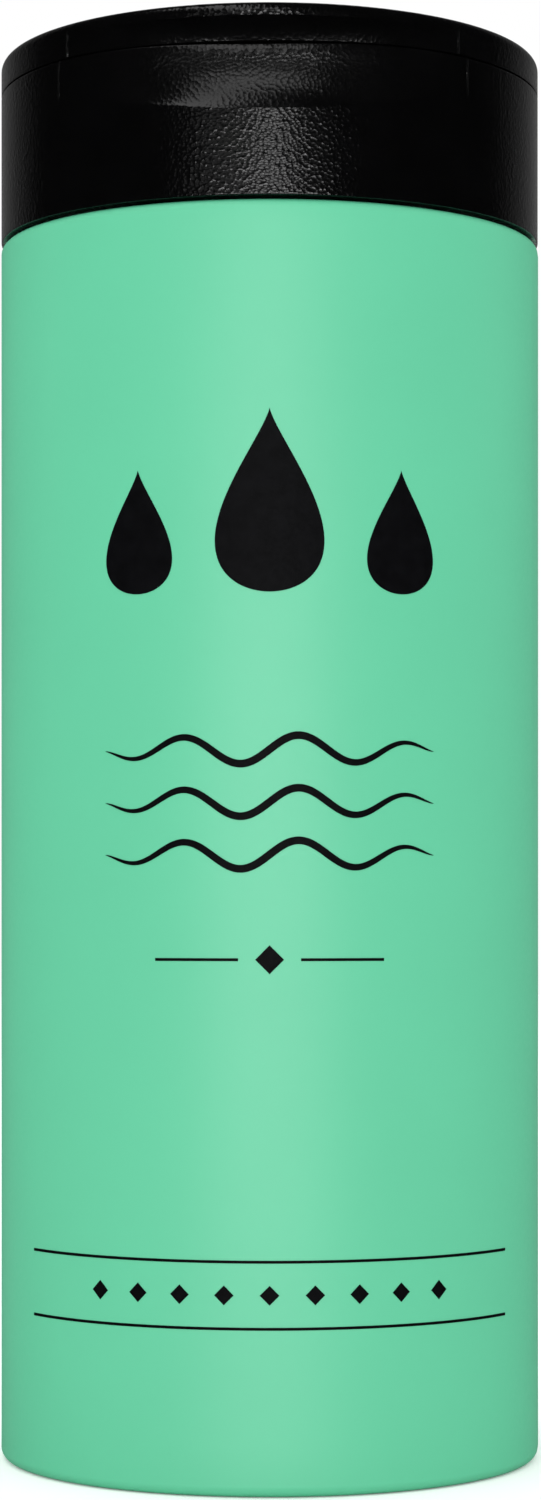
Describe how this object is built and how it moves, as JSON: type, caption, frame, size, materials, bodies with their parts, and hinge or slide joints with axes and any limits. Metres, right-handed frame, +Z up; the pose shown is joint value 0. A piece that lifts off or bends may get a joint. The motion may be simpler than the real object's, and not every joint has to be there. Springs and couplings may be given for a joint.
{
  "type": "flip-top toiletry bottle",
  "caption": "Straight round bottle with a flush screw-on flip-top closure, thumb scoop and living hinge, for storing and dispensing a liquid toiletry.",
  "frame": {"origin": "centre of the base, on the plane the bottle stands on", "axes": "+Z up along the bottle's axis, thumb scoop towards -Y, lid hinge towards +Y"},
  "size_m": [0.044, 0.044, 0.114],
  "materials": {
    "bottle_polyethylene": "satin blow-moulded",
    "closure_polypropylene": "fine spark-eroded grain",
    "seal_foam": "closed-cell foam"
  },
  "bodies": {
    "bottle": {"bottle": "bottle_polyethylene"},
    "liner": {"sealing_liner": "seal_foam"},
    "closure": {"closure": "closure_polypropylene", "hinge_film_left": "closure_polypropylene", "hinge_film_right": "closure_polypropylene", "snap_strap": "closure_polypropylene"},
    "lid": {"flip_lid": "closure_polypropylene"}
  },
  "joints": [
    {"name": "cap_lift", "type": "slide", "parent": "bottle", "child": "liner", "axis": [0, 0, 1], "range_m": [0, 0.00318]},
    {"name": "cap_turn", "type": "hinge", "parent": "liner", "child": "closure", "pos_m": [0, 0, 0.1], "axis": [0, 0, 1], "range_deg": [0, 360]},
    {"name": "lid_flip", "type": "hinge", "parent": "closure", "child": "lid", "pos_m": [0, 0.0212, 0.1111], "axis": [-1, 0, 0], "range_deg": [0, 135], "deforming": ["hinge_film_left", "hinge_film_right", "snap_strap"]}
  ],
  "couplings": [
    {"joint": "cap_lift", "follows": "cap_turn", "m_per_rad": 0.00050532}
  ]
}
